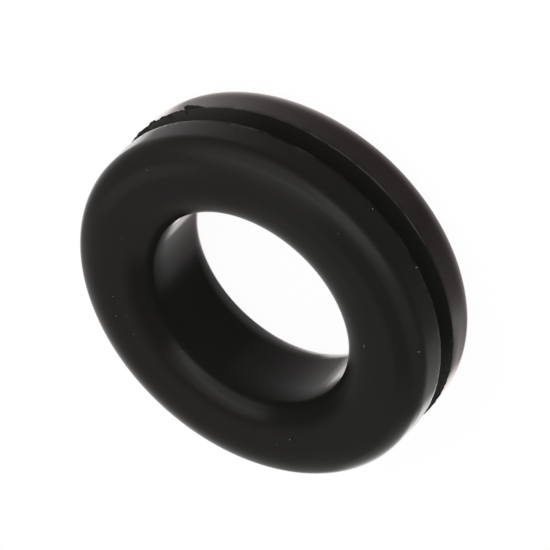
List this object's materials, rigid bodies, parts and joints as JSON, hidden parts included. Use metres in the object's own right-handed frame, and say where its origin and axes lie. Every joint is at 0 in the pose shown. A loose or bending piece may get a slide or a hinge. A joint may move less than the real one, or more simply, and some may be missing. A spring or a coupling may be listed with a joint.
{
  "type": "rubber grommet",
  "caption": "Black rubber cable grommet: a soft ring with a domed flange on each side of a narrow panel groove.",
  "frame": {"origin": "on the bore axis, in the middle of the panel groove", "axes": "+Z along the bore axis, out of one flange; the grommet lies flat on the other flange, with -Z down"},
  "size_m": [0.0286, 0.0286, 0.0094],
  "materials": {
    "rubber": "satin moulded black rubber"
  },
  "bodies": {
    "root": {"grommet": "rubber"}
  },
  "joints": []
}
